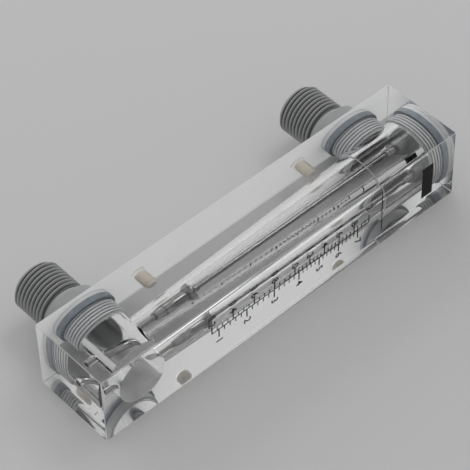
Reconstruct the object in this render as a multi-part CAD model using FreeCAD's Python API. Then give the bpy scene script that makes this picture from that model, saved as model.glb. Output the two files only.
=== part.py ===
import FreeCAD, Part

# Block-type rotameter: a clear acrylic block with a tapered metering bore, read on its front face.
# Frame, in millimetres: +Z runs up the metering bore, the scale faces -Y, the two pipe fittings
# leave towards +Y. The origin is where the bore's axis meets the bottom face.

import os
from math import cos, pi, sin, sqrt

from FreeCAD import Vector

X_DIR = Vector(1, 0, 0)
Z_DIR = Vector(0, 0, 1)

# ---- driving dimensions -------------------------------------------------------------------

# Acrylic block
BLOCK_WIDTH = 33.0
BLOCK_DEPTH = 36.2
BLOCK_HEIGHT = 175.0
BLOCK_EDGE = 0.3                # broken edge all round
AXIS_BEHIND_FRONT = 16.2        # metering bore behind the scale face

# Ports in the back face
INLET_HEIGHT = 20.0
OUTLET_UNDER_PLUG = 0.44        # acrylic between the outlet's tapped hole and the plug's

# Metering bore and chambers
SEAT_BORE_RADIUS = 5.4          # tapered bore at the inlet chamber
TOP_BORE_RADIUS = 9.6           # tapered bore at the outlet chamber
OUTLET_CHAMBER_LEDGE = 0.04     # step of the outlet chamber below the outlet's tapped hole
OUTLET_CHAMBER_RADIUS = 10.7
INLET_CHAMBER_RADIUS = 10.5
INLET_CHAMBER_WALL = 6.3        # acrylic left between the inlet chamber and the scale face

# Screwed-in end of the fittings and of the plug
SCREW_CREST = 11.6
SCREW_DEPTH = 0.7
SCREW_PITCH = 1.35
SCREW_FIT = 0.06                # radial gap to the tapped hole
SCREW_RUN_IN = 0.05             # plain end before the first ridge
FITTING_REACH = 12.7            # how far a fitting goes in behind the back face
PLUG_REACH = 10.7               # how far the plug goes in under the top face
HOLE_RUNOUT = 0.2               # tapped hole deeper than what is screwed in

# Collar and its seal
COLLAR_RADIUS = 12.7
COLLAR_FIT = 0.2                # radial gap in the counterbore
COUNTERBORE_DEPTH = 4.3
COLLAR_SUNK_DEPTH = 2.1         # part of the collar that lies in the counterbore
COLLAR_EDGE = 0.4
RELIEF_RADIUS = 10.2            # undercut that carries the seal
SEAL_WIDTH = 2.5
SEAL_EDGE = 0.2

# Outer end of the fittings: half-inch parallel pipe thread
PIPE_CREST = 10.48
PIPE_DEPTH = 1.16
PIPE_PITCH = 1.814
PIPE_TURNS = 9
FITTING_OUT = 27.5              # outer end beyond the back face
FITTING_COLLAR_OUT = 6.8
NECK_RADIUS = 10.3
NECK_FILLET = 0.4
FLOW_RADIUS = 6.5
FLOW_EDGE = 0.6

# Inner end of the fittings: the flow bore opens out in a cone to a thin-walled mouth
MOUTH_RADIUS = 9.8
MOUTH_THROAT_RADIUS = 8.0
MOUTH_DEPTH = 11.0

# Top plug
PLUG_OUT = 1.0
PLUG_BOSS_RADIUS = 5.0
PLUG_BOSS_LENGTH = 4.2
PLUG_SLOT_WIDTH = 3.0
PLUG_SLOT_LENGTH = 17.0
PLUG_SLOT_DEPTH = 1.8

# Guide rod
ROD_RADIUS = 1.75
ROD_FIT = 0.05                  # radial gap in the seats at its two ends
ROD_SEAT_DEPTH = 3.4            # blind seat under the inlet chamber
ROD_SOCKET_DEPTH = 8.0          # blind socket in the plug
ROD_END_GAP = 0.3
ROD_EDGE = 0.3

# Upper stop: ribbed bush under the plug
STOP_CREST = 2.9
STOP_ROOT = 2.45
STOP_LENGTH = 4.4
STOP_RIBS = 4

# Float: measures at its sharp flange, all heights from the tip upwards
FLOAT_REST_ABOVE_CHAMBER = 7.8  # tip above the top of the inlet chamber, at the lowest reading
FLOAT_WALL_GAP = 0.1            # flange to the tapered wall at the lowest reading
FLOAT_ROD_GAP = 0.08
FLOAT_TIP_RADIUS = 2.6
FLOAT_BODY_RADIUS = 3.9
FLOAT_GROOVE_RADIUS = 3.3
FLOAT_HUB_RADIUS = 2.5
FLOAT_CONE_LENGTH = 3.4
FLOAT_LOW_GROOVE = 0.7
FLOAT_BODY_LENGTH = 9.4
FLOAT_HEAD_GROOVE = 0.9
FLOAT_UNDER_FLANGE = 1.5
FLOAT_RIM = 0.35
FLOAT_CROWN = 2.6
FLOAT_HUB_LENGTH = 1.6

# Threaded inserts in the back face, for the panel screws
INSERT_ABOVE_INLET = 27.05
INSERT_BELOW_OUTLET = 25.45
INSERT_CREST = 2.8
INSERT_GROOVE = 0.3
INSERT_RIBS = 7
INSERT_LENGTH = 7.2
INSERT_FIT = 0.04
INSERT_SCREW_RADIUS = 1.65      # core of an M4 thread
INSERT_SCREW_DEPTH = 6.0
INSERT_NOSE = 1.0               # rounding of the blind end
INSERT_SINK_RADIUS = 4.4
INSERT_SINK_DEPTH = 1.2

# ---- places that follow from them ---------------------------------------------------------

FRONT_Y = -AXIS_BEHIND_FRONT
BACK_Y = BLOCK_DEPTH - AXIS_BEHIND_FRONT
HOLE_RADIUS = SCREW_CREST + SCREW_FIT
COUNTERBORE_RADIUS = COLLAR_RADIUS + COLLAR_FIT
PLUG_BOTTOM = BLOCK_HEIGHT - PLUG_REACH
OUTLET_HEIGHT = PLUG_BOTTOM - HOLE_RUNOUT - OUTLET_UNDER_PLUG - HOLE_RADIUS
PORT_HEIGHTS = {"inlet": INLET_HEIGHT, "outlet": OUTLET_HEIGHT}
INSERT_HEIGHTS = [INLET_HEIGHT + INSERT_ABOVE_INLET, OUTLET_HEIGHT - INSERT_BELOW_OUTLET]
CHAMBER_TOP = INLET_HEIGHT + INLET_CHAMBER_RADIUS
CHAMBER_FLOOR = INLET_HEIGHT - INLET_CHAMBER_RADIUS
STEP_HEIGHT = OUTLET_HEIGHT - HOLE_RADIUS - OUTLET_CHAMBER_LEDGE
BOSS_BOTTOM = PLUG_BOTTOM - PLUG_BOSS_LENGTH
ROD_BOTTOM = CHAMBER_FLOOR - ROD_SEAT_DEPTH
ROD_TOP = BOSS_BOTTOM + ROD_SOCKET_DEPTH - ROD_END_GAP
FLOAT_TIP = CHAMBER_TOP + FLOAT_REST_ABOVE_CHAMBER


def taper_radius(height):
    """Radius of the metering bore at a height."""
    share = (height - CHAMBER_TOP) / (STEP_HEIGHT - CHAMBER_TOP)
    return SEAT_BORE_RADIUS + (TOP_BORE_RADIUS - SEAT_BORE_RADIUS) * share


# ---- helpers ------------------------------------------------------------------------------

def turned(outline):
    """Solid of revolution about Z from a closed outline of (radius, height) points."""
    points = [Vector(r, 0, h) for r, h in outline]
    face = Part.Face(Part.makePolygon(points + points[:1]))
    return face.revolve(Vector(0, 0, 0), Z_DIR, 360)


def ridges(crest, depth, start, pitch, count):
    """Rising outline of a thread's ridges: a root, a flank, a narrow crest and a flank each turn."""
    outline = []
    for turn in range(count):
        base = start + turn * pitch
        outline += [(crest - depth, base),
                    (crest, base + 0.40 * pitch),
                    (crest, base + 0.60 * pitch),
                    (crest - depth, base + pitch)]
    return outline


def facing_back(shape, height):
    """Turn a piece made along +Z, with 0 at the face, so that it leaves the back face."""
    shape = shape.copy()
    shape.rotate(Vector(0, 0, 0), X_DIR, -90)
    shape.translate(Vector(0, BACK_Y, height))
    return shape


def on_top(shape):
    """Lift a piece made along +Z, with 0 at the face, to the top face."""
    shape = shape.copy()
    shape.translate(Vector(0, 0, BLOCK_HEIGHT))
    return shape


def rod_of(radius, low, high):
    return Part.makeCylinder(radius, high - low, Vector(0, 0, low))


# ---- acrylic block ------------------------------------------------------------------------

def screw_hole(reach):
    """Cutter for a counterbored, tapped hole, going down from 0."""
    deep = reach + HOLE_RUNOUT
    return turned([(0, -deep), (HOLE_RADIUS, -deep),
                   (HOLE_RADIUS, -COUNTERBORE_DEPTH), (COUNTERBORE_RADIUS, -COUNTERBORE_DEPTH),
                   (COUNTERBORE_RADIUS, 1), (0, 1)])


def insert_hole():
    """Cutter for one threaded insert: a bore with a countersunk lead-in."""
    bore = INSERT_CREST + INSERT_FIT
    bottom = -INSERT_SINK_DEPTH - INSERT_LENGTH
    return turned([(0, bottom), (bore - INSERT_NOSE, bottom), (bore, bottom + INSERT_NOSE),
                   (bore, -INSERT_SINK_DEPTH), (INSERT_SINK_RADIUS, -INSERT_SINK_DEPTH / 2),
                   (INSERT_SINK_RADIUS, 1), (0, 1)])


def acrylic_body():
    block = Part.makeBox(BLOCK_WIDTH, BLOCK_DEPTH, BLOCK_HEIGHT, Vector(-BLOCK_WIDTH / 2, FRONT_Y, 0))
    block = block.makeChamfer(BLOCK_EDGE, block.Edges)
    taper = Part.makeCone(SEAT_BORE_RADIUS, TOP_BORE_RADIUS, STEP_HEIGHT - CHAMBER_TOP,
                          Vector(0, 0, CHAMBER_TOP))
    seat_way = rod_of(SEAT_BORE_RADIUS, INLET_HEIGHT, CHAMBER_TOP)
    outlet_chamber = rod_of(OUTLET_CHAMBER_RADIUS, STEP_HEIGHT, PLUG_BOTTOM)
    inlet_depth = BLOCK_DEPTH - INLET_CHAMBER_WALL
    inlet_chamber = facing_back(rod_of(INLET_CHAMBER_RADIUS, -inlet_depth, -FITTING_REACH), INLET_HEIGHT)
    rod_seat = rod_of(ROD_RADIUS + ROD_FIT, ROD_BOTTOM, INLET_HEIGHT)
    cutters = [taper, seat_way, outlet_chamber, inlet_chamber, rod_seat, on_top(screw_hole(PLUG_REACH))]
    cutters += [facing_back(screw_hole(FITTING_REACH), height) for height in PORT_HEIGHTS.values()]
    cutters += [facing_back(insert_hole(), height) for height in INSERT_HEIGHTS]
    for cutter in cutters:
        block = block.cut(cutter)
    return block


# ---- fittings, plug and seals -------------------------------------------------------------

def screwed_end(reach, collar_out):
    """Outline from the inner end up to the collar's outer edge: screw, undercut and collar."""
    root = SCREW_CREST - SCREW_DEPTH
    turns = int((reach - COUNTERBORE_DEPTH) / SCREW_PITCH)
    start = -reach + (reach - COUNTERBORE_DEPTH - turns * SCREW_PITCH) / 2
    outline = [(root - SCREW_DEPTH / 2, -reach), (root, start - SCREW_RUN_IN)]
    outline += ridges(SCREW_CREST, SCREW_DEPTH, start, SCREW_PITCH, turns)
    outline += [(RELIEF_RADIUS, -COUNTERBORE_DEPTH), (RELIEF_RADIUS, -COLLAR_SUNK_DEPTH),
                (COLLAR_RADIUS, -COLLAR_SUNK_DEPTH), (COLLAR_RADIUS, collar_out - COLLAR_EDGE),
                (COLLAR_RADIUS - COLLAR_EDGE, collar_out)]
    return outline


def drop_repeats(outline):
    kept = [outline[0]]
    for point in outline[1:]:
        if sqrt((point[0] - kept[-1][0]) ** 2 + (point[1] - kept[-1][1]) ** 2) > 1e-6:
            kept.append(point)
    return kept


def fitting():
    """One moulded fitting along +Z: coned mouth, screwed end, collar, neck and pipe thread."""
    pipe_start = FITTING_OUT - PIPE_DEPTH - PIPE_TURNS * PIPE_PITCH
    root = PIPE_CREST - PIPE_DEPTH
    mouth_floor = -FITTING_REACH + MOUTH_DEPTH
    outline = [(MOUTH_RADIUS, -FITTING_REACH)]
    outline += screwed_end(FITTING_REACH, FITTING_COLLAR_OUT)
    outline += [(NECK_RADIUS + NECK_FILLET, FITTING_COLLAR_OUT),
                (NECK_RADIUS, FITTING_COLLAR_OUT + NECK_FILLET),
                (NECK_RADIUS, pipe_start - PIPE_PITCH / 2)]
    outline += ridges(PIPE_CREST, PIPE_DEPTH, pipe_start, PIPE_PITCH, PIPE_TURNS)
    outline += [(root, FITTING_OUT - FLOW_EDGE), (root - FLOW_EDGE / 2, FITTING_OUT),
                (FLOW_RADIUS + FLOW_EDGE, FITTING_OUT), (FLOW_RADIUS, FITTING_OUT - FLOW_EDGE),
                (FLOW_RADIUS, mouth_floor), (MOUTH_THROAT_RADIUS, mouth_floor)]
    return turned(drop_repeats(outline))


def top_plug():
    """Plug along +Z: screwed end, collar, slotted head, and a boss with the rod's socket."""
    socket = ROD_RADIUS + ROD_FIT
    boss_low = -PLUG_REACH - PLUG_BOSS_LENGTH
    outline = [(socket, boss_low), (PLUG_BOSS_RADIUS, boss_low), (PLUG_BOSS_RADIUS, -PLUG_REACH)]
    outline += screwed_end(PLUG_REACH, PLUG_OUT)
    outline += [(0, PLUG_OUT), (0, boss_low + ROD_SOCKET_DEPTH), (socket, boss_low + ROD_SOCKET_DEPTH)]
    plug = turned(drop_repeats(outline))
    slot_low = PLUG_OUT - PLUG_SLOT_DEPTH
    slot = Part.makeBox(PLUG_SLOT_LENGTH, PLUG_SLOT_WIDTH, PLUG_SLOT_DEPTH,
                        Vector(-PLUG_SLOT_LENGTH / 2, -PLUG_SLOT_WIDTH / 2, slot_low))
    return plug.cut(slot)


def seal():
    """Square-section rubber ring squeezed between the collar and the counterbore's floor."""
    inner = RELIEF_RADIUS + COLLAR_FIT / 4
    outer = inner + SEAL_WIDTH
    low = -COUNTERBORE_DEPTH
    high = -COLLAR_SUNK_DEPTH
    return turned([(inner, low), (outer - SEAL_EDGE, low), (outer, low + SEAL_EDGE),
                   (outer, high - SEAL_EDGE), (outer - SEAL_EDGE, high), (inner, high)])


# ---- guide rod, stop and float ------------------------------------------------------------

def guide_rod():
    outline = [(0, ROD_BOTTOM), (ROD_RADIUS - ROD_EDGE, ROD_BOTTOM), (ROD_RADIUS, ROD_BOTTOM + ROD_EDGE),
               (ROD_RADIUS, ROD_TOP - ROD_EDGE), (ROD_RADIUS - ROD_EDGE, ROD_TOP), (0, ROD_TOP)]
    return turned(outline)


def upper_stop():
    """Ribbed bush on the rod, against the plug's boss."""
    hole = ROD_RADIUS + ROD_FIT
    bottom = BOSS_BOTTOM - STOP_LENGTH
    pitch = STOP_LENGTH / STOP_RIBS
    outline = [(hole, bottom)]
    outline += ridges(STOP_CREST, STOP_CREST - STOP_ROOT, bottom, pitch, STOP_RIBS)
    outline += [(hole, BOSS_BOTTOM)]
    return turned(drop_repeats(outline))


def float_heights():
    """Heights of the float's steps, from its tip to the top of its hub."""
    cone_top = FLOAT_TIP + FLOAT_CONE_LENGTH
    body_low = cone_top + FLOAT_LOW_GROOVE
    body_high = body_low + FLOAT_BODY_LENGTH
    head_low = body_high + FLOAT_HEAD_GROOVE
    rim_low = head_low + FLOAT_UNDER_FLANGE
    rim_high = rim_low + FLOAT_RIM
    crown_high = rim_high + FLOAT_CROWN
    hub_high = crown_high + FLOAT_HUB_LENGTH
    return cone_top, body_low, body_high, head_low, rim_low, rim_high, crown_high, hub_high


def metering_float():
    """Turned float: nose cone, grooved body, sharp-edged measuring flange, crown and hub."""
    cone_top, body_low, body_high, head_low, rim_low, rim_high, crown_high, hub_high = float_heights()
    flange = taper_radius(rim_low) - FLOAT_WALL_GAP
    hole = ROD_RADIUS + FLOAT_ROD_GAP
    outline = [(hole, FLOAT_TIP), (FLOAT_TIP_RADIUS, FLOAT_TIP),
               (FLOAT_BODY_RADIUS, cone_top), (FLOAT_GROOVE_RADIUS, cone_top),
               (FLOAT_GROOVE_RADIUS, body_low), (FLOAT_BODY_RADIUS, body_low),
               (FLOAT_BODY_RADIUS, body_high), (FLOAT_GROOVE_RADIUS, body_high),
               (FLOAT_GROOVE_RADIUS, head_low), (FLOAT_BODY_RADIUS, head_low),
               (flange, rim_low), (flange, rim_high)]
    rise = crown_high - rim_high
    steps = 5
    for step in range(1, steps + 1):
        angle = step / steps * pi / 2
        radius = FLOAT_HUB_RADIUS + (flange - FLOAT_HUB_RADIUS) * (1 - sin(angle)) ** 0.8
        outline.append((radius, rim_high + rise * (1 - cos(angle))))
    outline += [(FLOAT_HUB_RADIUS, hub_high), (hole, hub_high)]
    return turned(drop_repeats(outline))


# ---- threaded inserts ---------------------------------------------------------------------

def threaded_insert():
    """Blind insert along +Z, its open end at the bottom of the countersink."""
    mouth = -INSERT_SINK_DEPTH
    bottom = mouth - INSERT_LENGTH
    ribbed = INSERT_LENGTH - INSERT_NOSE - 2 * INSERT_GROOVE
    pitch = ribbed / INSERT_RIBS
    outline = [(0, bottom), (INSERT_CREST - INSERT_NOSE, bottom),
               (INSERT_CREST - INSERT_GROOVE, bottom + INSERT_NOSE)]
    outline += ridges(INSERT_CREST, INSERT_GROOVE, bottom + INSERT_NOSE + INSERT_GROOVE, pitch, INSERT_RIBS)
    outline += [(INSERT_CREST - INSERT_GROOVE, mouth), (INSERT_SCREW_RADIUS, mouth),
                (INSERT_SCREW_RADIUS, mouth - INSERT_SCREW_DEPTH), (0, mouth - INSERT_SCREW_DEPTH)]
    return turned(drop_repeats(outline))


# ---- assembly -----------------------------------------------------------------------------

def build():
    nodes = {"acrylic_body": acrylic_body(), "top_plug": on_top(top_plug()),
             "top_plug_seal": on_top(seal()), "guide_rod": guide_rod(),
             "upper_stop": upper_stop(), "float": metering_float()}
    for port, height in PORT_HEIGHTS.items():
        nodes[port + "_fitting"] = facing_back(fitting(), height)
        nodes[port + "_seal"] = facing_back(seal(), height)
    inserts = [facing_back(threaded_insert(), height) for height in INSERT_HEIGHTS]
    nodes["mounting_inserts"] = Part.makeCompound(inserts)
    return nodes


os.makedirs("parts", exist_ok=True)
for node, shape in build().items():
    shape.exportStep("parts/" + node + ".step")
    box = shape.BoundBox
    print(node, "valid" if shape.isValid() else "NOT VALID", len(shape.Solids), "solid(s)",
          round(shape.Volume, 1), "mm3",
          [round(v, 2) for v in (box.XMin, box.XMax, box.YMin, box.YMax, box.ZMin, box.ZMax)])
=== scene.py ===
# %% [markdown]
# # A block-type rotameter
# A rotameter reads a flow by how high a float rides in a tapered bore. Here the bore is drilled
# in a clear acrylic block, so most of what the eye sees is refraction: the block has to be a true
# closed solid with true cavities, and every metal and plastic piece inside it is seen bent.
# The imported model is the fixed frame, and its axes are kept: +Z up the bore, the scale on the -Y
# face, the two pipe fittings leaving the +Y face. The pieces are sized in millimetres, as a
# maker gives them, and each mesh is scaled once, when it is added. The camera, the lamps and
# the grain of the finishes are in metres, which is Blender's own unit.

import bpy
import numpy as np
from mathutils import Matrix, Vector


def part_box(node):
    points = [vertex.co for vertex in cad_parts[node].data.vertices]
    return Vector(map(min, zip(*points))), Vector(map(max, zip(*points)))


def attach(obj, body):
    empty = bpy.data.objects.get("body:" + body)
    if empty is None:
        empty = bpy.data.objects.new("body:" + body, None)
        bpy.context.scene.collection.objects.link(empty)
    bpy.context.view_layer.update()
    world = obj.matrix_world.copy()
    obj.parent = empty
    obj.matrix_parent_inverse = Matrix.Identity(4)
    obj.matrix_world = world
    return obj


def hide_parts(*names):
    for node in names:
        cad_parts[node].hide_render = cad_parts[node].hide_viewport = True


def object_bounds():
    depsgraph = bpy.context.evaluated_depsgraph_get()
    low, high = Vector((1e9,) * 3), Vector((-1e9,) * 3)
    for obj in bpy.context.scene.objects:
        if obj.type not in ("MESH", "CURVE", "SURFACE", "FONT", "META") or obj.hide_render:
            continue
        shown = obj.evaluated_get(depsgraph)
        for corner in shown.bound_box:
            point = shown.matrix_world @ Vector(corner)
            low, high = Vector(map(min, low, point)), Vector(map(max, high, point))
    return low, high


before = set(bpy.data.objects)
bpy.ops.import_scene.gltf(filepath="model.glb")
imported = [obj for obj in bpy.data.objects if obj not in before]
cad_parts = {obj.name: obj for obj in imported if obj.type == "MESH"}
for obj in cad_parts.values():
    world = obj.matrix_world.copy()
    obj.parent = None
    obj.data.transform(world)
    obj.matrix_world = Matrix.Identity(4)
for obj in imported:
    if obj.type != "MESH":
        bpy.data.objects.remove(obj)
cad_low, cad_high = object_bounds()
MM = 0.001
block_low, block_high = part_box("acrylic_body")
middle = (block_low + block_high) / 2

# %% [markdown]
# ## The camera
# A long lens from about 0.8 m, looking down on the meter as it lies on its +X side, so that
# the side, the scale face and the bottom end all show. A camera can be aimed by angles or by a
# target, but here up is not Z, so its three directions are written out instead: its right, its
# up and the way back to it. Together they are the columns of its matrix.

# %% Camera
CAMERA_PLACE = Vector((-0.63137, -0.41047, -0.27828))
CAMERA_RIGHT = Vector((0.02121185, -0.67223933, 0.74002996))
CAMERA_UP = Vector((-0.66412378, 0.54381507, 0.51303487))
CAMERA_BACK = Vector((-0.74732166, -0.50235391, -0.4349148))


def placed(name, data):
    """A new object in the scene that holds this mesh, lamp, camera or text."""
    made = bpy.data.objects.new(name, data)
    bpy.context.scene.collection.objects.link(made)
    return made


camera_data = bpy.data.cameras.new("camera")
camera_data.sensor_width = 36.0
camera_data.lens = 173.69
camera_data.clip_start = 0.05
camera_data.clip_end = 30.0
camera = placed("camera", camera_data)
turn = Matrix((CAMERA_RIGHT, CAMERA_UP, CAMERA_BACK)).transposed()
camera.matrix_world = Matrix.Translation(CAMERA_PLACE) @ turn.to_4x4()
bpy.context.scene.camera = camera
bpy.context.scene.view_settings.view_transform = "Standard"
print("camera", round((CAMERA_PLACE - middle).length, 3), "m from the block")

# %% [markdown]
# ## Shader arithmetic
# A procedural finish is mostly arithmetic on a few fields, such as a noise or a number stored on
# the mesh. Linking Math nodes by hand hides that arithmetic, so it is written here as Python
# expressions: a Signal wraps one output socket, and adding, subtracting or multiplying Signals
# adds the nodes. Every other node comes from Finish.node, which takes the node's type, its
# settings, and what goes into its sockets.

# %% Signals
class Signal:
    """A number, a colour or a shader: one output socket in a finish."""

    def __init__(self, finish, socket):
        self.finish = finish
        self.socket = socket

    def math(self, operation, *others):
        values = {i: v for i, v in enumerate((self,) + others)}
        return self.finish.node("ShaderNodeMath", {"operation": operation}, values)

    def __add__(self, other):
        return self.math("ADD", other)

    def __sub__(self, other):
        return self.math("SUBTRACT", other)

    def __rsub__(self, other):
        return (self * -1.0).math("ADD", other)

    def __mul__(self, other):
        return self.math("MULTIPLY", other)

    def clamped(self):
        """The number, held between 0 and 1."""
        return self.math("MAXIMUM", 0.0).math("MINIMUM", 1.0)

    __radd__ = __add__
    __rmul__ = __mul__


print("a Signal can be added, subtracted, multiplied and clamped")


# %% Finishes
class Finish:
    """A node material, ending in one Principled shader or in a mix of shaders."""

    def __init__(self, name):
        self.material = bpy.data.materials.new(name)
        self.material.use_nodes = True
        self.tree = self.material.node_tree
        self.tree.nodes.clear()

    def node(self, kind, settings=None, values=None, output=0):
        """Add a node: its settings first, then a value or a link for each socket in values."""
        made = self.tree.nodes.new(kind)
        for key, value in (settings or {}).items():
            setattr(made, key, value)
        for key, value in (values or {}).items():
            if isinstance(value, Signal):
                self.tree.links.new(value.socket, made.inputs[key])
            else:
                made.inputs[key].default_value = value
        return Signal(self, made.outputs[output] if len(made.outputs) else None)

    def place(self):
        """The point on the piece, in metres in the model's axes."""
        return self.node("ShaderNodeTexCoord", output="Object")

    def stored(self, name):
        """A number that is stored on the mesh under this name."""
        return self.node("ShaderNodeAttribute", {"attribute_name": name}, output="Fac")

    def noise(self, size, detail):
        """Soft blotches about as large as size, in metres, from 0 to 1."""
        values = {"Vector": self.place(), "Scale": 1.0 / size, "Detail": detail}
        return self.node("ShaderNodeTexNoise", values=values)

    def blend(self, share, low, high):
        """Colour low where share is 0 and high where it is 1."""
        return self.node("ShaderNodeMix", {"data_type": "RGBA"}, {0: share, 6: low, 7: high}, output=2)

    def mixed(self, share, first, second):
        """The first shader where share is 0 and the second where it is 1."""
        return self.node("ShaderNodeMixShader", values={0: share, 1: first, 2: second})

    def bump(self, height, depth):
        """A normal tilted by a height field; depth is the relief in metres at height 1."""
        return self.node("ShaderNodeBump", values={"Height": height, "Distance": depth})

    def ended_in(self, shader):
        """The material, once its last shader goes to the output."""
        self.node("ShaderNodeOutputMaterial", values={"Surface": shader})
        return self.material

    def surface(self, **sockets):
        """The material with one Principled shader; an underscore in a name stands for a space."""
        values = {key.replace("_", " "): value for key, value in sockets.items()}
        return self.ended_in(self.node("ShaderNodeBsdfPrincipled", values=values))


def grey(level, warm=0.0):
    """An almost neutral colour; warm leans it towards yellow, below 0 towards blue."""
    return (level * (1 + warm), level, level * (1 - warm), 1.0)


print("a bluish grey:", [round(part, 4) for part in grey(0.5, -0.03)])

# %% [markdown]
# ## The floors
# The meter lies on a pale floor, which in the model's axes is the plane that its +X side
# touches. A second pale floor lies under the standing meter for the views from above. Both are
# stage, and each is clear from its back, so that no view looks at the wrong side of one.
# Neither stops light nor is seen by matt surfaces, so the same soft light reaches the meter from
# all round, while each still shows the meter's shadow. The standing floor stays out of mirrors
# and of the acrylic too, because there it would cut across the floor that the meter lies on.

# %% Pale floors
FLOOR_TONE = 0.60
FLOOR_REACH = 6.0
FLOOR_GAP = 0.2 * MM


def one_sided(name, tone):
    """A matt sheet that is seen from its front only."""
    finish = Finish(name)
    front = finish.node("ShaderNodeBsdfDiffuse", values={"Color": grey(tone)})
    clear = finish.node("ShaderNodeBsdfTransparent")
    side = finish.node("ShaderNodeNewGeometry", output="Backfacing")
    return finish.ended_in(finish.mixed(side, front, clear))


def mesh_of(name, vertices, faces):
    """A mesh from rows of points and lists of their indices."""
    mesh = bpy.data.meshes.new(name)
    mesh.from_pydata(np.asarray(vertices).tolist(), [], faces)
    return mesh


def flat_sheet(name, centre, across, upward, material):
    """A square stage sheet: corners at the centre plus and minus its two half sides."""
    signs = np.array([(-1, -1), (1, -1), (1, 1), (-1, 1)])
    corners = np.array(centre) + signs[:, :1] * np.array(across) + signs[:, 1:] * np.array(upward)
    mesh = mesh_of(name, corners, [(0, 1, 2, 3)])
    mesh.materials.append(material)
    sheet = placed(name, mesh)
    return sheet


pale = one_sided("pale_floor", FLOOR_TONE)
lying_floor = flat_sheet("lying_floor", (cad_high.x + FLOOR_GAP, 0, 0),
                         (0, 0, FLOOR_REACH), (0, FLOOR_REACH, 0), pale)
standing_floor = flat_sheet("standing_floor", (0, 0, cad_low.z),
                            (FLOOR_REACH, 0, 0), (0, FLOOR_REACH, 0), pale)
for floor in (lying_floor, standing_floor):
    floor.visible_diffuse = False
    floor.visible_shadow = False
standing_floor.visible_glossy = False
standing_floor.visible_transmission = False
print("floor normals", lying_floor.data.polygons[0].normal[:], standing_floor.data.polygons[0].normal[:])

# %% [markdown]
# ## The light
# Clear acrylic and polished steel have no tone of their own: they show what is round them. The
# world is one pale tone and lights everything evenly. A large key lamp gives the shadow and a
# smaller strip lamp the bright lines on the steel. Two dark cards, which only mirrors and clear
# acrylic see, draw the dark lines that make an edge or a round bar readable.

# %% World, lamps and cards
WORLD_TONE = 0.55
CARD_TONE = 0.02

world = bpy.data.worlds.new("studio")
world.use_nodes = True
world.node_tree.nodes["Background"].inputs["Color"].default_value = grey(WORLD_TONE)
bpy.context.scene.world = world


def lamp(name, offset, size, power):
    """A square soft box that faces the block's middle, unseen by the camera."""
    data = bpy.data.lights.new(name, "AREA")
    data.shape = "SQUARE"
    data.size = size
    data.energy = power
    made = placed(name, data)
    made.location = middle + Vector(offset)
    made.rotation_mode = "QUATERNION"
    made.rotation_quaternion = (middle - made.location).to_track_quat("-Z", "Y")
    made.visible_camera = False


def dark_card(name, offset, size, material):
    """A dark square card that faces the block's middle: only mirrors and clear acrylic see it."""
    place = middle + Vector(offset)
    facing = (middle - place).to_track_quat("Z", "Y").to_matrix()
    card = flat_sheet(name, place, facing.col[0] * size / 2, facing.col[1] * size / 2, material)
    card.visible_camera = False
    card.visible_diffuse = False
    card.visible_shadow = False


lamp("key", (-0.5, 1.85, 0.35), 2.4, 25.0)
lamp("strip", (-1.36, -0.02, 0.74), 0.5, 2.6)
dark = one_sided("dark_card", CARD_TONE)
dark_card("high_card", (-1.05, 0.88, 0.66), 0.62, dark)
dark_card("front_card", (-0.70, -1.05, 0.66), 0.72, dark)
print("lit by the world and", len(bpy.data.lights), "lamps")

# %% [markdown]
# ## Surfaces from formulas
# Nearly every piece is turned or moulded round an axis. Blender could spin a drawn outline, but
# a formula keeps each size in one named place. Such a piece is a grid: one direction runs along
# its profile, the other round the axis. The helpers below lay a grid of points into a mesh,
# closing it on itself in either direction, or to a point where the profile meets the axis.

# %% Grids into meshes
ROUND = 144                     # points round a turned piece
CREASE = 32                     # degrees; edges sharper than this stay sharp


def shade(mesh, crease):
    """Smooth shading, with a hard edge wherever two faces meet at more than crease degrees."""
    mesh.polygons.foreach_set("use_smooth", np.ones(len(mesh.polygons), bool))
    mesh.set_sharp_from_angle(angle=np.radians(crease))
    mesh.update()


def grid_mesh(name, points, closed_profile):
    """points[i, j] is profile point i at turn angle j. Rows are joined round the axis.

    A closed profile is also joined last row to first; an open one ends in one point at each end,
    the mean of its end row.
    """
    rows, cols = points.shape[:2]
    index = np.arange(rows * cols).reshape(rows, cols)
    low, high = (index, np.roll(index, -1, axis=0)) if closed_profile else (index[:-1], index[1:])
    quads = np.stack([low, np.roll(low, -1, 1), np.roll(high, -1, 1), high], -1).reshape(-1, 4)
    vertices = points.reshape(-1, 3)
    faces = quads.tolist()
    if not closed_profile:
        ends = np.stack([points[0].mean(0), points[-1].mean(0)])
        vertices = np.vstack([vertices, ends])
        first = np.stack([np.roll(index[0], -1), index[0], np.full(cols, rows * cols)], -1)
        last = np.stack([index[-1], np.roll(index[-1], -1), np.full(cols, rows * cols + 1)], -1)
        faces += first.tolist() + last.tolist()
    mesh = mesh_of(name, vertices, faces)
    shade(mesh, CREASE)
    return mesh


def round_grid(profile, count):
    """The radius, height and angle at each grid point: the profile down, even angles across."""
    radius, height = np.asarray(profile, float).T
    angle = np.arange(count) * 2 * np.pi / count
    return np.broadcast_arrays(radius[:, None], height[:, None], angle[None, :])


def round_points(radius, height, angle):
    """The points (r cos a, r sin a, h) of whole grids of radius r, height h and angle a."""
    return np.stack([radius * np.cos(angle), radius * np.sin(angle), height], -1)


def turned(profile, count=ROUND):
    """Points of a turned surface from its profile of (radius, height) points."""
    return round_points(*round_grid(profile, count))


print("a ring of", ROUND, "points is off its circle by", round(1 - np.cos(np.pi / ROUND), 6), "of its radius")


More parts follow.
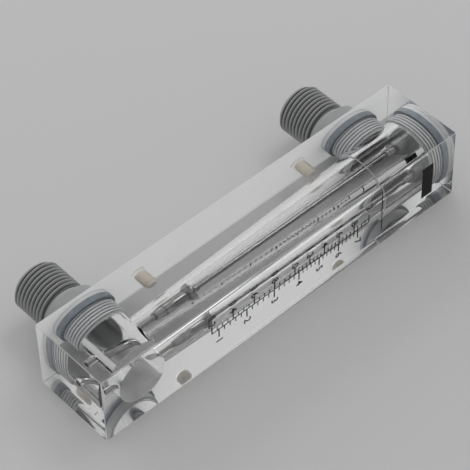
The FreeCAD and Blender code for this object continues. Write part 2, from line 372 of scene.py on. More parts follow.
# %% Profiles
def eased(outline, radius, steps=3, closed=False):
    """Round the corners of an outline of (radius, height) points.

    Each corner P becomes the curve (1-t)^2 A + 2t(1-t) P + t^2 B, where A and B lie on its two
    sides at the given radius from it, or nearly half-way along a shorter side.
    """
    outline = np.array(outline, float)
    before = np.roll(outline, 1, 0) - outline
    after = np.roll(outline, -1, 0) - outline
    reach = [side * np.minimum(radius / np.linalg.norm(side, axis=1), 0.48)[:, None]
             for side in (before, after)]
    start, end = outline + reach[0], outline + reach[1]
    t = np.linspace(0, 1, steps)[None, :, None]
    curve = (1 - t) ** 2 * start[:, None] + 2 * t * (1 - t) * outline[:, None] + t ** 2 * end[:, None]
    if closed:
        return curve.reshape(-1, 2)
    return np.vstack([outline[:1], curve[1:-1].reshape(-1, 2), outline[-1:]])


def rows_between(radius, low, high, step):
    """Profile points up a straight cylinder, close enough to carry a thread."""
    count = max(2, int(np.ceil((high - low) / step)) + 1)
    return np.column_stack([np.full(count, radius), np.linspace(low, high, count)])


def facing_back(points, height):
    """Points made along +Z with 0 at the face, turned to leave the back face at a height."""
    x, y, z = np.moveaxis(points, -1, 0)
    return np.stack([x, BACK + z, height - y], -1)


FRONT, BACK = block_low.y / MM, block_high.y / MM
TOP = block_high.z / MM
HALF_WIDTH = block_high.x / MM
print("block", FRONT, BACK, HALF_WIDTH, TOP)


# %% Adding a piece
def note_on(mesh, name, values, domain="POINT"):
    """Store a number on each grid point, or on each face, for a finish to read; end points get 1."""
    field = mesh.attributes.new(name, "FLOAT", domain)
    padded = np.ones(len(field.data), np.float32)
    padded[:values.size] = values.ravel()
    field.data.foreach_set("value", padded)


def add_piece(name, mesh, material, body, slot, *replaced):
    """Link a finished mesh in millimetres as a piece that rides on a body."""
    mesh.transform(Matrix.Scale(MM, 4))
    mesh.materials.clear()
    mesh.materials.append(material)
    piece = placed(name, mesh)
    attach(piece, body)
    if replaced:
        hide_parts(*replaced)
    print(name, len(mesh.polygons), "faces")


# %% [markdown]
# ## The acrylic block
# The block is sawn from thick sheet and keeps the sheet's polish on the scale face and the two
# sides, and its ends are polished. Its back face is milled, and so are the step in the bore, the
# mouths of the two insert holes and, less roughly, the broken edges. A drawn outside with a
# painted inside would not bend what lies behind it, so the block is made as a machinist makes
# it: a long prism with its edges broken, from which closed cutters are removed. The walls of
# every cavity are then true optical surfaces. Where a thread, a seal or a collar is squeezed
# against the acrylic there is no air gap, so its hole is cut slightly inside that piece.

# %% Sizes of the cavities
EDGE = 0.3                      # every outer edge is broken this much
PRINT_DEPTH = 0.02              # the scale face stands this far back, to leave room for the print
CUT_CLEAR = 1                   # cutters stand this far out of the block
BORE_ROUND = 512                # points round a cavity, where flats would show as ripples
BLOCK_CREASE = 12               # degrees; in clear acrylic even a shallow edge shows, and stays crisp
SEAT_BORE, TOP_BORE = 5.4, 9.6  # the tapered bore's radius at its two ends
INLET_CHAMBER, OUTLET_CHAMBER = 10.5, 10.7
INLET_CHAMBER_DEPTH = 29.9
TAPPED, COUNTERBORE = 10.7, 12.4
PORT_DEPTH = 12.9
COUNTERBORE_FLOOR = -4.25
ROD_HOLE, ROD_SEAT_FLOOR = 1.8, 6.1
INSERT_HOLE, INSERT_HOLE_DEPTH = 2.35, 7.0
INSERT_MOUTH, INSERT_MOUTH_DEPTH, INSERT_MOUTH_WALL = 3.4, 1.0, 0.4
# A fitting's axis is half-way up its box.
INLET_HEIGHT = (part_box("inlet_fitting")[0].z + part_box("inlet_fitting")[1].z) / 2 / MM
OUTLET_HEIGHT = (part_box("outlet_fitting")[0].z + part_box("outlet_fitting")[1].z) / 2 / MM
CHAMBER_TOP = INLET_HEIGHT + INLET_CHAMBER
STEP_HEIGHT = OUTLET_HEIGHT - 11.7      # where the taper ends and the outlet chamber begins
PLUG_HOLE_FLOOR = TOP - 10.9
INSERT_HEIGHTS = [INLET_HEIGHT + 27.05, OUTLET_HEIGHT - 25.45]
BLOCK_LOW = np.array([-HALF_WIDTH, FRONT + PRINT_DEPTH, 0])
BLOCK_HIGH = np.array([HALF_WIDTH, BACK, TOP])
print("ports at", round(INLET_HEIGHT, 2), round(OUTLET_HEIGHT, 2), "step at", round(STEP_HEIGHT, 2))


# %% Prism and cutters
def prism(name, low, high, edge):
    """A box with every edge broken: its outline inset by s(z), which is edge at both ends.

    The outline is a rectangle with its corners cut at 45 degrees; the rows go up the z axis.
    """
    cut = edge * np.array([(1, 0), (0, 1)])
    corners = np.array([(low[0], low[1]), (high[0], low[1]), (high[0], high[1]), (low[0], high[1])])
    inward = np.array([(1, 1), (-1, 1), (-1, -1), (1, -1)])
    first = corners + inward * cut[[1, 0, 1, 0]]
    second = corners + inward * cut[[0, 1, 0, 1]]
    outline = np.stack([first, second], 1).reshape(-1, 2)
    shrink = np.repeat(inward, 2, 0)
    levels = np.array([(low[2], edge), (low[2] + edge, 0), (high[2] - edge, 0), (high[2], edge)])
    rows = [np.column_stack([outline + shrink * inset, np.full(8, z)]) for z, inset in levels]
    return grid_mesh(name, np.stack(rows), False)


def cutter(profile, height=None):
    """A closed turned solid; with a height it enters the back face there."""
    points = turned(profile, BORE_ROUND)
    if height is not None:
        points = facing_back(points, height)
    return grid_mesh("cutter", points, False)


def cut_away(stock_mesh, cutters, crease):
    """The stock without any of the cutters: an exact difference of closed solids."""
    stock = placed("stock", stock_mesh)
    tools = [placed("tool", mesh) for mesh in cutters]
    for tool in tools:
        modifier = stock.modifiers.new("cut", "BOOLEAN")
        modifier.operation = "DIFFERENCE"
        modifier.solver = "EXACT"
        modifier.object = tool
    depsgraph = bpy.context.evaluated_depsgraph_get()
    result = bpy.data.meshes.new_from_object(stock.evaluated_get(depsgraph))
    for made in [stock] + tools:
        bpy.data.objects.remove(made)
    shade(result, crease)
    return result


stock = prism("stock", BLOCK_LOW, BLOCK_HIGH, EDGE)
print("a prism of", len(stock.polygons), "faces")

# %% Cavities
bore_profile = [(ROD_HOLE, ROD_SEAT_FLOOR), (ROD_HOLE, INLET_HEIGHT),
                (SEAT_BORE, INLET_HEIGHT), (SEAT_BORE, CHAMBER_TOP),
                (TOP_BORE, STEP_HEIGHT), (OUTLET_CHAMBER, STEP_HEIGHT),
                (OUTLET_CHAMBER, PLUG_HOLE_FLOOR), (TAPPED, PLUG_HOLE_FLOOR),
                (TAPPED, TOP + COUNTERBORE_FLOOR), (COUNTERBORE, TOP + COUNTERBORE_FLOOR),
                (COUNTERBORE, TOP + CUT_CLEAR)]
port_profile = [(TAPPED, -PORT_DEPTH), (TAPPED, COUNTERBORE_FLOOR), (COUNTERBORE, COUNTERBORE_FLOOR),
                (COUNTERBORE, CUT_CLEAR)]
inlet_profile = [(INLET_CHAMBER, -INLET_CHAMBER_DEPTH), (INLET_CHAMBER, -PORT_DEPTH)] + port_profile
insert_profile = [(INSERT_HOLE, -INSERT_HOLE_DEPTH), (INSERT_HOLE, -INSERT_MOUTH_DEPTH),
                  (INSERT_MOUTH, -INSERT_MOUTH_WALL), (INSERT_MOUTH, CUT_CLEAR)]
cutters = [cutter(bore_profile), cutter(inlet_profile, INLET_HEIGHT), cutter(port_profile, OUTLET_HEIGHT)]
cutters += [cutter(insert_profile, height) for height in INSERT_HEIGHTS]
block_mesh = cut_away(stock, cutters, BLOCK_CREASE)
block_mesh.name = "clear_block"
print(len(cutters), "cuts leave", len(block_mesh.polygons), "faces")

# %% [markdown]
# ## Milled faces and clear acrylic
# Milling leaves fine scratches that scatter light, so a milled face of clear acrylic looks white
# and hides what is behind it. Two materials on one block would need its faces sorted into slots.
# Instead each face stores how milled it is, and one finish reads that number: 0 is clear glass
# with the index of acrylic, 1 a white mist that lets about half of the light through.
# Lamps reach what is inside glass only by long bent paths that a renderer rarely finds, and the
# pieces would look too dark. So a ray that asks only whether a lamp is in sight passes straight
# through the polished faces, dimmed at each, and partly through the milled ones. Every ray that
# makes the picture of the acrylic still bends in it.

# %% Milled faces
def milled_faces(mesh):
    """How milled each face is: the back, the step and the insert mouths fully, broken edges less.

    A face is on a broken edge if its centre is near two sides of the block and its normal leans
    towards both.
    """
    count = len(mesh.polygons)
    centre, normal = np.empty(count * 3), np.empty(count * 3)
    mesh.polygons.foreach_get("center", centre)
    mesh.polygons.foreach_get("normal", normal)
    centre, normal = centre.reshape(-1, 3), np.abs(normal.reshape(-1, 3))
    x, y, z = centre.T
    back = y > BACK - 0.01
    step = np.abs(z - STEP_HEIGHT) < 0.02
    mouths = np.zeros(count, bool)
    for height in INSERT_HEIGHTS:
        mouth = np.hypot(x, z - height) < INSERT_MOUTH + 0.05
        mouths |= mouth & (y > BACK - INSERT_MOUTH_DEPTH - 0.05) & (y < BACK)
    sides_near = ((centre - BLOCK_LOW < EDGE + 0.01) | (BLOCK_HIGH - centre < EDGE + 0.01)).sum(1)
    edges = (sides_near > 1) & (np.sort(normal, 1)[:, 1] > 0.5)
    return np.select([back | step | mouths, edges], [1.0, 0.6], 0.0)


milled = milled_faces(block_mesh)
note_on(block_mesh, "milled", milled, "FACE")
print((milled == 1).sum(), "milled faces,", (milled == 0.6).sum(), "on broken edges")


# %% Acrylic finish
def acrylic():
    """Clear acrylic; where it is milled, a white mist that is part translucent, part diffuse."""
    finish = Finish("acrylic")
    milled = finish.stored("milled")
    wear = finish.noise(0.012, 4.0)
    glass = finish.node("ShaderNodeBsdfPrincipled", values={
        "Base Color": (0.985, 0.988, 0.988, 1), "Roughness": milled * (wear * 0.1 + 0.5) + 0.004,
        "IOR": 1.49, "Transmission Weight": 1.0})
    through = finish.node("ShaderNodeBsdfTranslucent", values={"Color": grey(0.90)})
    white = finish.node("ShaderNodeBsdfDiffuse", values={"Color": grey(0.86)})
    mist = finish.mixed(0.4, through, white)
    seen = finish.mixed(milled * (wear * 0.08 + 0.91), glass, mist)
    clear = finish.node("ShaderNodeBsdfTransparent", values={"Color": grey(0.6)})
    lamp_passes = finish.node("ShaderNodeLightPath", output="Is Shadow Ray") * (1 - milled * 0.6)
    return finish.ended_in(finish.mixed(lamp_passes, seen, clear))


add_piece("clear_block", block_mesh, acrylic(), "meter", "clear_acrylic", "acrylic_body")

# %% [markdown]
# ## Threads
# A thread is a ridge that climbs one pitch in one turn. It could be a profile swept along a
# helix and joined to its shank, but such a joint is hard to close. On a grid that runs round the
# axis and along it, the ridge is simply a wave of the radius: its phase is the height in pitches
# minus the share of the turn. Moulded threads have rounded crests, so the wave is a triangle
# whose top and bottom are cut flat, and it fades out at the thread's two ends.

# %% Thread wave
CREST_FLAT, ROOT_FLAT = 0.22, 0.84
THREAD_FADE = 0.35              # turns over which a thread fades in and out


def thread_wave(height, angle, start, turns, pitch):
    """0 in the root and 1 on the crest of a right-hand thread; 0 outside its turns.

    The phase is (height - start) / pitch - angle / 2 pi. Twice its distance from the half turn
    is a triangle wave, 0 at the middle of the crest and 1 at the middle of the root.
    """
    along = (height - start) / pitch
    phase = along - angle / (2 * np.pi)
    triangle = 2 * np.abs(phase - np.floor(phase) - 0.5)
    ridge = np.clip((ROOT_FLAT - triangle) / (ROOT_FLAT - CREST_FLAT), 0, 1)
    fade = np.clip(np.minimum(along, turns - along) / THREAD_FADE, 0, 1)
    return ridge * fade


def threaded(profile, threads, count=ROUND):
    """A turned surface whose radius is raised by thread waves, and its crest field.

    Each thread is (start, turns, pitch, depth, lowest radius that it is cut on). The crest field
    is the wave on the threads and 1 elsewhere.
    """
    radius, height, angle = round_grid(profile, count)
    crest = np.ones(radius.shape)
    for start, turns, pitch, depth, lowest in threads:
        raised = thread_wave(height, angle, start, turns, pitch)
        on_thread = (radius > lowest) & (height > start) & (height < start + turns * pitch)
        radius = radius + depth * raised * on_thread
        crest = np.where(on_thread, raised, crest)
    return round_points(radius, height, angle), crest


print("up one pitch of a thread:", thread_wave(np.linspace(2, 3, 9), 0, 0, 5, 1).round(2))

# %% [markdown]
# ## Moulded grey plastic
# The fittings and the plug are satin grey plastic. In the open, the roots of the thread get painted
# shade. Inside the block, where the plastic touches the acrylic, it is painted much paler, with
# painted shade left in the roots: the paleness is painted light for the bright reflections in the
# thread's thin air gaps and for the lamp light that the glass holds back. Both looks are one
# finish: the mesh stores how near each point is to a crest and whether it touches acrylic, and two
# blends read those.

# %% Plastic finish
PLASTIC_TONE = 0.285


def moulded_plastic():
    """Grey plastic with painted shade in the thread roots, painted much paler where it touches acrylic."""
    finish = Finish("fitting_plastic")
    mottle = finish.noise(0.006, 3.0)
    grain = finish.noise(0.0004, 2.0)
    on_crest = (finish.stored("crest") * 1.8 - 0.25).clamped()
    light, lighter = grey(PLASTIC_TONE * 1.1, -0.015), grey(PLASTIC_TONE * 1.28, -0.01)
    outside_colour = finish.blend((mottle - 0.3) * 1.6, light, lighter)
    # Painted shade: in the open the thread roots are painted nearly black.
    outside_colour = finish.blend(on_crest, grey(PLASTIC_TONE * 0.26, -0.01), outside_colour)
    # Painted light: where it touches acrylic the plastic is painted pale, for air-gap reflections and light
    # held back by the glass, with painted shade in the roots.
    painted_pale_inside = finish.blend(on_crest, grey(0.33, -0.03), grey(0.88, -0.01))
    colour = finish.blend(finish.stored("in_acrylic"), outside_colour, painted_pale_inside)
    normal = finish.bump(grain, 0.00002)
    return finish.surface(Base_Color=colour, Roughness=mottle * 0.1 + 0.36, Normal=normal)


fitting_finish = moulded_plastic()
print(fitting_finish.name, len(fitting_finish.node_tree.nodes), "nodes")

# %% [markdown]
# ## Pipe fittings
# Each fitting is one moulding: a hollow mouth and a fine screw thread inside the block, an
# undercut for its seal, a collar half sunk in the counterbore, a neck, and a half-inch pipe
# thread outside. All of it is round, so one closed profile gives the outside and the bore: it
# starts at the mouth's edge, goes out along the outside and comes back through the bore.

# %% Screwed-in end
SCREW_ROOT, SCREW_DEPTH, SCREW_PITCH = 10.9, 0.7, 1.35
COLLAR, SUNK_COLLAR = 12.7, 12.5
UNDERCUT, UNDERCUT_LOW, UNDERCUT_HIGH = 10.2, -4.3, -2.1
WETTED_SCREW, WETTED_COLLAR = 10.3, 12.1    # radii from which these two touch the acrylic


def screwed_rows(reach, collar_out):
    """Profile of the screwed-in end, from the inner face to the collar's outer edge."""
    start = -reach + 0.15
    rows = [eased([(SCREW_ROOT - 0.6, -reach), (SCREW_ROOT - 0.35, -reach), (SCREW_ROOT, start)], 0.2),
            rows_between(SCREW_ROOT, start, UNDERCUT_LOW - 0.05, SCREW_PITCH / 12),
            eased([(10.25, UNDERCUT_LOW), (UNDERCUT, -4.25), (UNDERCUT, UNDERCUT_HIGH),
                   (12.0, UNDERCUT_HIGH), (SUNK_COLLAR, UNDERCUT_HIGH), (SUNK_COLLAR, -0.1),
                   (COLLAR, 0.1), (COLLAR, 0.5)], 0.06),
            eased([(COLLAR, collar_out - 0.45), (COLLAR, collar_out), (12.2, collar_out)], 0.4)]
    return np.vstack(rows)


def screw_thread(reach, turns):
    """The fine thread of a piece that goes reach deep into its hole."""
    return (-reach + 0.2, turns, SCREW_PITCH, SCREW_DEPTH, SCREW_ROOT - 0.01)


def in_acrylic(profile):
    """1 where a fitting or the plug touches acrylic: its thread, and its sunk collar."""
    radius, height, _ = round_grid(profile, ROUND)
    thread = (radius > WETTED_SCREW) & (height < UNDERCUT_LOW + 0.01)
    collar = (radius > WETTED_COLLAR) & (height < 0)
    return (thread | collar).astype(np.float32)


print("screw", SCREW_ROOT + SCREW_DEPTH, "mm in radius, collar", COLLAR)

# %% Pipe fittings
FITTING_REACH, FITTING_OUT, FITTING_COLLAR_OUT = 12.7, 27.5, 6.8
PIPE_ROOT, PIPE_DEPTH, PIPE_PITCH, PIPE_TURNS = 9.32, 1.16, 1.814, 9
PIPE_START = FITTING_OUT - PIPE_DEPTH - PIPE_TURNS * PIPE_PITCH
FLOW, THROAT, MOUTH = 6.5, 8.0, 9.8
MOUTH_FLOOR = -1.7
NECK = 10.3


def fitting_profile():
    """Out along the outside, from the inner end to the pipe end, and back through the bore."""
    out, reach = FITTING_OUT, -FITTING_REACH
    neck = eased([(11.5, FITTING_COLLAR_OUT), (NECK, FITTING_COLLAR_OUT), (NECK, 7.5),
                  (NECK, PIPE_START - 0.9), (PIPE_ROOT, PIPE_START - 0.1)], 0.3)
    pipe = rows_between(PIPE_ROOT, PIPE_START, out - 1.2, PIPE_PITCH / 14)
    end = eased([(PIPE_ROOT, out - 1.1), (PIPE_ROOT, out - 0.6), (PIPE_ROOT - 0.6, out),
                 (FLOW + 0.5, out), (FLOW, out - 0.5), (FLOW, out - 1.5)], 0.25)
    cone = eased([(FLOW, 12.0), (FLOW, MOUTH_FLOOR), (THROAT, MOUTH_FLOOR), (MOUTH - 0.1, reach + 0.5)], 0.3)
    lip = eased([(MOUTH - 0.1, reach + 0.4), (MOUTH, reach), (MOUTH + 0.3, reach)], 0.12)
    return np.vstack([screwed_rows(FITTING_REACH, FITTING_COLLAR_OUT), neck, pipe, end, cone, lip])


pipe_thread = (PIPE_START, PIPE_TURNS, PIPE_PITCH, PIPE_DEPTH, PIPE_ROOT - 0.01)
for port, height in (("inlet", INLET_HEIGHT), ("outlet", OUTLET_HEIGHT)):
    profile = fitting_profile()
    points, crest = threaded(profile, [screw_thread(FITTING_REACH, 6), pipe_thread])
    mesh = grid_mesh(port + "_pipe_fitting", facing_back(points, height), True)
    note_on(mesh, "crest", crest)
    note_on(mesh, "in_acrylic", in_acrylic(profile))
    add_piece(port + "_pipe_fitting", mesh, fitting_finish, "meter", "grey_plastic", port + "_fitting")

# %% [markdown]
# ## The top plug
# The plug closes the bore from above with the same screwed end and collar as the fittings. Its
# head carries a slot for a wide driver, and its boss holds the guide rod in a blind socket. The
# profile starts at the roof of that socket, comes down round the boss and goes up to the head.
# The slot isn't round, so it is cut from the turned solid with a small prism.

# %% Top plug
PLUG_REACH, PLUG_OUT = 10.7, 1.0
BOSS, BOSS_LOW, SOCKET_ROOF = 5.0, -14.9, -6.9
SLOT_HALF_LENGTH, SLOT_HALF_WIDTH, SLOT_FLOOR = 8.5, 1.5, -0.8


def top_plug_mesh():
    """The plug turned from its profile, less its slot; 0 of the profile is the block's top."""
    boss = eased([(ROD_HOLE, SOCKET_ROOF), (ROD_HOLE, BOSS_LOW), (BOSS, BOSS_LOW), (BOSS, -PLUG_REACH),
                  (9.9, -PLUG_REACH)], 0.25)
    head = eased([(12.2, PLUG_OUT), (11.0, PLUG_OUT), (10.6, 0.75), (9.9, 0.75), (9.5, PLUG_OUT),
                  (0.6, PLUG_OUT)], 0.2)
    profile = np.vstack([boss, screwed_rows(PLUG_REACH, PLUG_OUT)[1:], head[1:]])
    points, crest = threaded(profile, [screw_thread(PLUG_REACH, 4.5)])
    points[..., 2] += TOP
    solid = grid_mesh("top_plug", points, False)
    note_on(solid, "crest", crest)
    note_on(solid, "in_acrylic", in_acrylic(profile))
    slot = prism("slot", (-SLOT_HALF_LENGTH, -SLOT_HALF_WIDTH, TOP + SLOT_FLOOR),
                 (SLOT_HALF_LENGTH, SLOT_HALF_WIDTH, TOP + 2), 0.05)
    return cut_away(solid, [slot], CREASE)


add_piece("slotted_plug", top_plug_mesh(), fitting_finish, "meter", "grey_plastic", "top_plug")

# %% [markdown]
# ## Seals
# A square-section rubber ring fills the groove between each collar and the floor of its
# counterbore. Squeezed there, it wets the acrylic, so it reads as a clear blue-grey band. A
# torus would be the usual stand-in, but a squeezed ring is flat on all four sides, so its
# section is a square with eased corners, turned round the axis.

# %% Seals
SEAL_PROFILE = eased([(10.26, -4.3), (12.74, -4.3), (12.74, -1.7), (10.26, -1.7)], 0.08, closed=True)


def rubber():
    """Smooth blue-grey rubber with a faint bloom."""
    finish = Finish("seal_finish")
    bloom = finish.noise(0.003, 4.0)
    colour = finish.blend((bloom - 0.35) * 2.0, (0.26, 0.295, 0.335, 1), (0.37, 0.41, 0.45, 1))
    normal = finish.bump(finish.noise(0.0003, 2.0), 0.00001)
    return finish.surface(Base_Color=colour, Roughness=bloom * 0.15 + 0.45, Normal=normal)


seal_finish = rubber()
seal_points = turned(SEAL_PROFILE)
places = {"inlet_seal": facing_back(seal_points, INLET_HEIGHT),
          "outlet_seal": facing_back(seal_points, OUTLET_HEIGHT),
          "top_plug_seal": seal_points + np.array([0, 0, TOP])}
for node, points in places.items():
    mesh = grid_mesh(node + "_ring", points, True)
    add_piece(node + "_ring", mesh, seal_finish, "meter", "seal_rubber", node)

# %% [markdown]
# ## Guide rod, stop and float
# The rod is ground and polished bar, so its finish is mirror-like with faint lines along it. The
# float is turned: its lines run round it, and its sharp flange is what the scale is read at.
# Anisotropic gloss could fake such lines, but real ones are relief: a noise that is squeezed to
# a fraction of a millimetre across the lines tilts the normal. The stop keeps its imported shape
# and only gets this finish.

# %% Steel
ALONG_THE_BAR = (0.00025, 0.00025, 0.02)
ROUND_THE_AXIS = (0.02, 0.02, 0.00018)


def steel(name, tone, roughness, line_size, line_depth):
    """Steel with fine tool lines: a noise as large as line_size along x, y and z, in metres."""
    finish = Finish(name)
    squeeze = tuple(1 / size for size in line_size)
    point = {0: finish.place(), 1: squeeze}
    stretched = finish.node("ShaderNodeVectorMath", {"operation": "MULTIPLY"}, point)
    lines = finish.node("ShaderNodeTexNoise", values={"Vector": stretched, "Scale": 1.0, "Detail": 2.0})
    stain = finish.noise(0.008, 3.0)
    colour = finish.blend(stain, grey(tone * 0.93, 0.012), grey(tone * 1.05, 0.005))
    normal = finish.bump(lines, line_depth)
    return finish.surface(Base_Color=colour, Metallic=1.0, Roughness=lines * 0.08 + roughness, Normal=normal)


rod_finish = steel("polished_bar", 0.33, 0.11, ALONG_THE_BAR, 0.000001)
float_finish = steel("turned_steel", 0.34, 0.11, ROUND_THE_AXIS, 0.000002)
stop_finish = steel("stop_finish", 0.46, 0.24, ROUND_THE_AXIS, 0.000004)
print("steels:", rod_finish.name, float_finish.name, stop_finish.name)

# %% Guide rod and stop
ROD = 1.75
ROD_EDGE = 0.3
rod_low, rod_high = (corner.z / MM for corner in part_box("guide_rod"))
rod_profile = eased([(ROD - 0.9, rod_low), (ROD - ROD_EDGE, rod_low), (ROD, rod_low + ROD_EDGE),
                     (ROD, rod_high - ROD_EDGE), (ROD - ROD_EDGE, rod_high), (ROD - 0.9, rod_high)], 0.12)
rod_mesh = grid_mesh("guide_bar", turned(rod_profile), False)
add_piece("guide_bar", rod_mesh, rod_finish, "meter", "polished_steel", "guide_rod")
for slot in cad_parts["upper_stop"].material_slots:
    slot.link = "OBJECT"
    slot.material = stop_finish

# %% Float
FLOAT_LENGTHS = [3.4, 0.7, 9.4, 0.9, 1.5, 0.35, 2.6]    # cone, groove, body, groove, flare, rim, crown
FLOAT_HOLE, FLOAT_TIP, FLOAT_BODY, FLOAT_GROOVE, FLOAT_HUB = 1.83, 2.6, 3.9, 3.3, 2.5
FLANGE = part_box("float")[1].x / MM
float_low, float_high = (corner.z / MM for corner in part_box("float"))


def float_mesh():
    """Nose cone, grooved body, flange, and a crown whose radius falls as (1 - sin a)^0.8."""
    tip, cone, low, high, head, rim, rim_top, crown = np.cumsum([float_low] + FLOAT_LENGTHS)
    lower = eased([(FLOAT_HOLE, tip + 1.0), (FLOAT_HOLE, tip), (FLOAT_TIP, tip), (FLOAT_BODY, cone),
                   (FLOAT_GROOVE, cone), (FLOAT_GROOVE, low), (FLOAT_BODY, low), (FLOAT_BODY, high),
                   (FLOAT_GROOVE, high), (FLOAT_GROOVE, head), (FLOAT_BODY, head), (FLANGE, rim)], 0.1)
    angle = np.linspace(0, np.pi / 2, 25)
    radius = FLOAT_HUB + (FLANGE - FLOAT_HUB) * (1 - np.sin(angle)) ** 0.8
    dome = np.column_stack([radius, rim_top + (crown - rim_top) * (1 - np.cos(angle))])
    upper = eased([(FLOAT_HUB, crown), (FLOAT_HUB, float_high), (FLOAT_HOLE, float_high),
                   (FLOAT_HOLE, float_high - 1.0)], 0.12)
    return grid_mesh("metering_float", turned(np.vstack([lower, dome, upper[1:]])), True)


add_piece("metering_float", float_mesh(), float_finish, "float", "polished_steel", "float")

# %% [markdown]
# ## Threaded inserts
# Two blind metal inserts take the panel screws. Each is pressed into the back face, with fine
# ribs outside that grip the acrylic, and is hollow for the screw. Its pale metal shows through
# the block, so the ribs are real relief, raised by the same wave as the threads, and the finish
# paints shade into their roots.

# %% Inserts
INSERT, INSERT_LOW = 2.5, -8.4
SCREW_CORE, SCREW_FLOOR = 1.65, -7.2
RIB_THREAD = (-7.3, 7, 0.8, 0.3, INSERT - 0.01)


def insert_finish():
    """Pale warm metal with a light tarnish, and painted shade between the ribs."""
    finish = Finish("insert_finish")
    tarnish = finish.noise(0.0015, 3.0)
    colour = finish.blend(tarnish, (0.90, 0.85, 0.76, 1), (0.98, 0.95, 0.88, 1))
    on_rib = (finish.stored("crest") * 1.6).clamped()
    # Painted shade: the roots between the ribs are painted browner and darker.
    colour = finish.blend(on_rib, (0.70, 0.61, 0.49, 1), colour)
    normal = finish.bump(finish.noise(0.0002, 2.0), 0.000006)
    return finish.surface(Base_Color=colour, Metallic=0.15, Roughness=tarnish * 0.15 + 0.36, Normal=normal)


def insert_points(height):
    """From the blind end out along the ribbed shank, over the mouth and down the screw's core."""
    nose = eased([(1.0, INSERT_LOW), (1.8, INSERT_LOW), (INSERT, -7.4)], 0.3)
    shank = rows_between(INSERT, -7.35, -1.6, 0.08)
    mouth = eased([(INSERT, -1.5), (2.7, -1.2), (1.9, -1.2), (SCREW_CORE, -1.45)], 0.08)
    core = rows_between(SCREW_CORE, -1.5, -6.9, 0.08)
    floor = np.array([(SCREW_CORE, -7.0), (SCREW_CORE, SCREW_FLOOR), (0.5, SCREW_FLOOR)])
    points, crest = threaded(np.vstack([nose, shank, mouth, core, floor]), [RIB_THREAD], 96)
    return facing_back(points, height), crest


brass = insert_finish()
for label, height in zip(("lower_insert", "upper_insert"), INSERT_HEIGHTS):
    points, crest = insert_points(height)
    mesh = grid_mesh(label, points, False)
    note_on(mesh, "crest", crest)
    nodes = ("mounting_inserts",) if label == "lower_insert" else ()
    add_piece(label, mesh, brass, "meter", "insert_brass", *nodes)

# %% [markdown]
# ## The printed scales
# Two scales share one upright line on the scale face. They could be an image laid on the face,
# but ink that is geometry stays crisp from near and throws its own reflection into the acrylic.
# Each mark is a thin slab, laid on the face from a list of places; the numbers are plain text
# turned into a mesh. All of it becomes one piece.

# %% Ink
INK = 0.012                     # thickness of the print
INK_GAP = 0.004                 # keeps the print's back and the scale face apart
INK_BACK = FRONT + PRINT_DEPTH - INK_GAP


def ink_finish():
    """Matt black ink, a little uneven."""
    finish = Finish("ink")
    patch = finish.noise(0.0006, 3.0)
    colour = finish.blend(patch, grey(0.006), grey(0.016))
    return finish.surface(Base_Color=colour, Roughness=patch * 0.2 + 0.45, Specular_IOR_Level=0.15)


def slabs(boxes):
    """Closed slabs of ink from rows of (x low, x high, z low, z high).

    Corner (i, j, k) of a slab takes its i-th x, its j-th y and its k-th z, with i, j, k 0 or 1.
    """
    boxes = np.array(boxes, float)
    pick = np.array([(i, j, k) for i in (0, 1) for j in (0, 1) for k in (0, 1)])
    x = boxes[:, :2][:, pick[:, 0]]
    z = boxes[:, 2:][:, pick[:, 2]]
    y = np.broadcast_to(np.array([INK_BACK - INK, INK_BACK])[pick[:, 1]], x.shape)
    vertices = np.stack([x, y, z], -1).reshape(-1, 3)
    quads = np.array([(0, 4, 5, 1), (2, 3, 7, 6), (0, 1, 3, 2), (4, 6, 7, 5), (0, 2, 6, 4), (1, 5, 7, 3)])
    faces = (np.arange(len(boxes))[:, None, None] * 8 + quads).reshape(-1, 4)
    return mesh_of("marks", vertices, faces.tolist())


ink = ink_finish()
print(ink.name, "ends", round(INK_BACK - INK - FRONT, 3), "mm behind the packed block's front")

# %% Marks
LINE_X = -0.95                  # the upright line that both scales share
LINE_HALF, MINOR_HALF = 0.28, 0.24
RIGHT_MAJORS = [54.0, 67.6, 81.1, 93.5, 103.7, 113.6, 123.5]
LEFT_MAJORS = [50.7, 61.0, 71.3, 81.4, 91.5, 99.0, 106.4, 113.9, 121.6, 129.3]
TOP_LINE, TOP_BAR = 136.2, (-8.6, 7.4, 157.5, 163.2)


def between(majors, count):
    """Minor places that share out the gap after each major evenly."""
    majors = np.array(majors)
    share = np.arange(1, count + 1) / (count + 1)
    return (majors[:-1, None] + np.diff(majors)[:, None] * share).ravel()


def rungs(heights, x_low, x_high, half):
    """A level mark at each height, twice half thick."""
    return [(x_low, x_high, z - half, z + half) for z in heights]


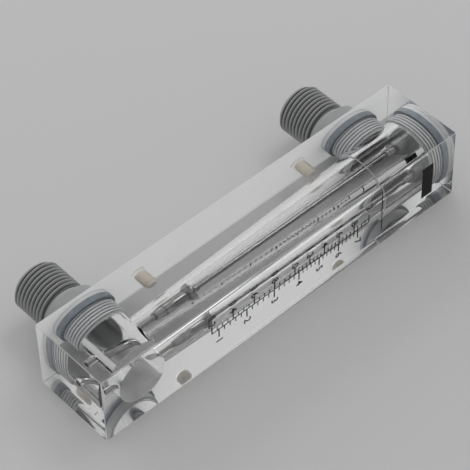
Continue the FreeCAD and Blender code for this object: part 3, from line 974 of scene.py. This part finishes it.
marks = [(LINE_X - LINE_HALF, LINE_X + LINE_HALF, LEFT_MAJORS[0] - 0.15, LEFT_MAJORS[-1] + 0.15)]
marks += rungs(RIGHT_MAJORS, LINE_X, 3.3, 0.31)
marks += rungs(between(RIGHT_MAJORS, 4), LINE_X, 1.3, MINOR_HALF)
marks += rungs(LEFT_MAJORS, -5.0, LINE_X, 0.30)
marks += rungs(between(LEFT_MAJORS, 3), -2.9, LINE_X, MINOR_HALF)
marks += rungs([TOP_LINE], -11.3, 9.7, LINE_HALF)
marks.append(TOP_BAR)
print(len(marks), "marks")

# %% Numbers
NUMBER_SIZE = 4.6
RIGHT_NUMBER_X, LEFT_NUMBER_X, LEFT_TOP_NUMBER_X = 5.3, -7.7, -8.6


def number_mesh(text, centre, height):
    """A mesh of a number that lies on the scale face, centred at (centre, height)."""
    curve = bpy.data.curves.new("number", "FONT")
    curve.body = text
    curve.size = NUMBER_SIZE
    curve.align_x = "CENTER"
    curve.align_y = "CENTER"
    curve.extrude = INK / 2
    curve.offset = 0.1
    curve.space_character = 1.12
    text_object = placed("number", curve)
    depsgraph = bpy.context.evaluated_depsgraph_get()
    mesh = bpy.data.meshes.new_from_object(text_object.evaluated_get(depsgraph))
    bpy.data.objects.remove(text_object)
    upright = Matrix.Rotation(np.pi / 2, 4, "X")
    mesh.transform(Matrix.Translation((centre, INK_BACK - INK / 2, height)) @ upright)
    return mesh


def joined(name, meshes):
    """One mesh from many, by shifting each one's indices past the vertices before it."""
    parts = []
    for mesh in meshes:
        co = np.empty(len(mesh.vertices) * 3)
        mesh.vertices.foreach_get("co", co)
        parts.append((co.reshape(-1, 3), [tuple(polygon.vertices) for polygon in mesh.polygons]))
    offsets = np.cumsum([0] + [len(co) for co, faces in parts])
    faces = [tuple(i + offset for i in face) for (co, many), offset in zip(parts, offsets) for face in many]
    return mesh_of(name, np.vstack([co for co, many in parts]), faces)


numbers = [number_mesh(str(i + 1), RIGHT_NUMBER_X, z) for i, z in enumerate(RIGHT_MAJORS)]
for i, z in enumerate(LEFT_MAJORS[:-1]):
    numbers.append(number_mesh("%.1f" % (0.2 * (i + 1)), LEFT_NUMBER_X, z))
numbers.append(number_mesh("2", LEFT_TOP_NUMBER_X, LEFT_MAJORS[-1]))
print_mesh = joined("scale_print", [slabs(marks)] + numbers)
add_piece("scale_print", print_mesh, ink, "meter", "clear_acrylic")

# %% [markdown]
# ## The imported model's box
# The dressed meter must fill the same box as the imported model, no more. This cell prints the
# imported box, in millimetres.

# %% Sizes
print("cad box", [round(v / MM, 2) for v in cad_low[:] + cad_high[:]])
